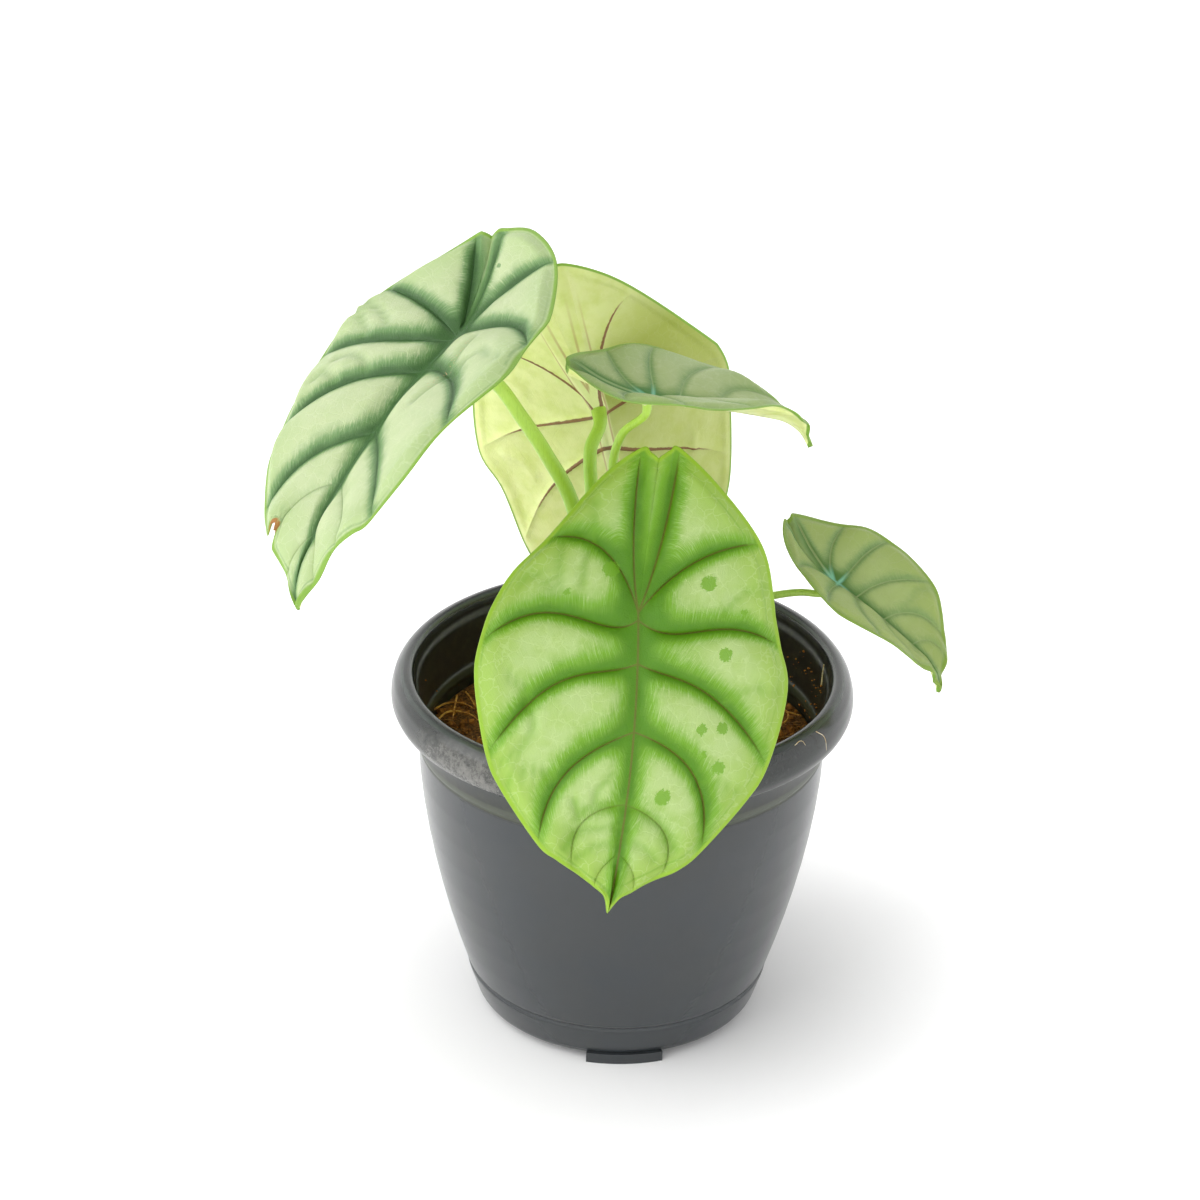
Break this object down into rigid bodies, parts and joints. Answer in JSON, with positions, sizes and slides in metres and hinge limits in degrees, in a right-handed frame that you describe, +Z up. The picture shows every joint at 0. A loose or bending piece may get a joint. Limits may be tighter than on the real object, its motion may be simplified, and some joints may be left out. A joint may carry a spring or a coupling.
{
  "type": "potted plant",
  "caption": "Potted alocasia: shield-shaped, quilted silver-green leaves with sunken veins on arching stalks, in a dark tapered nursery pot with a rolled rim, filled with soil.",
  "frame": {"origin": "on the surface that the pot stands on, below the middle of the whole plant's width and depth", "axes": "+Z up along the pot's axis, -Y towards the viewer of the picture and the front leaf, +X to the viewer's right"},
  "size_m": [0.1884, 0.148, 0.2325],
  "materials": {
    "pot": "dark charcoal plastic, glossy, with light scuffs",
    "soil": "matte brown coir and bark crumbs",
    "crown": "satin",
    "stalk": "satin, smooth",
    "blade_silver": "satin, quilted, silver between dark green veins",
    "blade_pale": "satin, pale underside with maroon veins",
    "blade_grey": "satin, dull grey green",
    "blade_green": "satin, quilted, pale green between vivid green veins"
  },
  "bodies": {
    "root": {"pot": "pot", "soil": "soil", "crown": "crown", "petiole_left": "stalk", "blade_left": "blade_silver", "petiole_back": "stalk", "blade_back": "blade_pale", "petiole_upper": "stalk", "blade_upper": "blade_grey", "petiole_front": "stalk", "blade_front": "blade_green", "petiole_right": "stalk", "blade_right": "blade_grey"}
  },
  "joints": []
}
